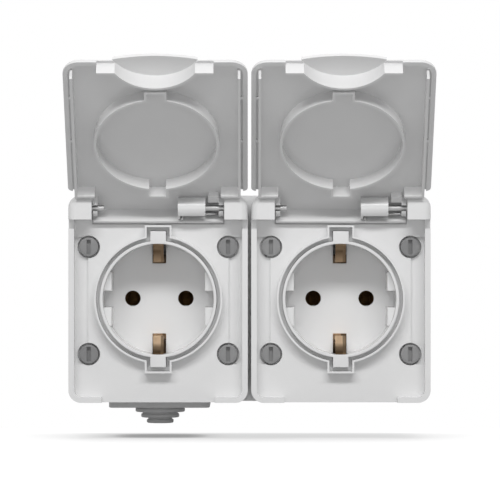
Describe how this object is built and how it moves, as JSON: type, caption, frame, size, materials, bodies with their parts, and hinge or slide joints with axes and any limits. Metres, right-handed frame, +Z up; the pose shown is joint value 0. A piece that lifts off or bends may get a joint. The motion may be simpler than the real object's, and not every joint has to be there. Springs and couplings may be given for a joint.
{
  "type": "outdoor weatherproof socket",
  "caption": "Double surface-mounted outdoor socket with round recessed wells, hinged lids and a stepped rubber cable gland.",
  "frame": {"origin": "centre of the back face at the height of the wells", "axes": "+Y into the wall, the wells and lids face -Y, +Z up, +X to the right seen from the front"},
  "size_m": [0.128, 0.0945, 0.13],
  "materials": {
    "white_plastic": "satin moulded plastic",
    "grey_plastic": "moulded grey plastic",
    "grey_rubber": "soft grey rubber",
    "brass": "bare sheet brass",
    "steel": "plated steel"
  },
  "bodies": {
    "housing": {"back_box": "white_plastic", "cable_gland": "grey_rubber", "left_frame_seal": "grey_rubber", "left_front_frame": "white_plastic", "left_socket_insert": "white_plastic", "left_contact_carrier": "white_plastic", "left_line_contact": "brass", "left_neutral_contact": "brass", "left_earth_bracket": "brass", "left_terminal_screws": "steel", "left_carrier_screws": "steel", "left_lower_left_screw": "grey_plastic", "left_lower_right_screw": "grey_plastic", "left_upper_right_screw": "grey_plastic", "left_upper_left_screw": "grey_plastic", "left_stub_pin": "steel", "left_spring_pin": "steel", "left_hinge_spring": "steel", "right_frame_seal": "grey_rubber", "right_front_frame": "white_plastic", "right_socket_insert": "white_plastic", "right_contact_carrier": "white_plastic", "right_line_contact": "brass", "right_neutral_contact": "brass", "right_earth_bracket": "brass", "right_terminal_screws": "steel", "right_carrier_screws": "steel", "right_lower_left_screw": "grey_plastic", "right_lower_right_screw": "grey_plastic", "right_upper_right_screw": "grey_plastic", "right_upper_left_screw": "grey_plastic", "right_stub_pin": "steel", "right_spring_pin": "steel", "right_hinge_spring": "steel"},
    "left_lid": {"left_lid": "white_plastic"},
    "right_lid": {"right_lid": "white_plastic"}
  },
  "joints": [
    {"name": "left_lid_hinge", "type": "hinge", "parent": "housing", "child": "left_lid", "pos_m": [-0.0323, -0.046, 0.0322], "axis": [1, 0, 0], "range_deg": [0, 135], "deforming": ["left_hinge_spring"]},
    {"name": "right_lid_hinge", "type": "hinge", "parent": "housing", "child": "right_lid", "pos_m": [0.0323, -0.046, 0.0322], "axis": [1, 0, 0], "range_deg": [0, 135], "deforming": ["right_hinge_spring"]}
  ]
}
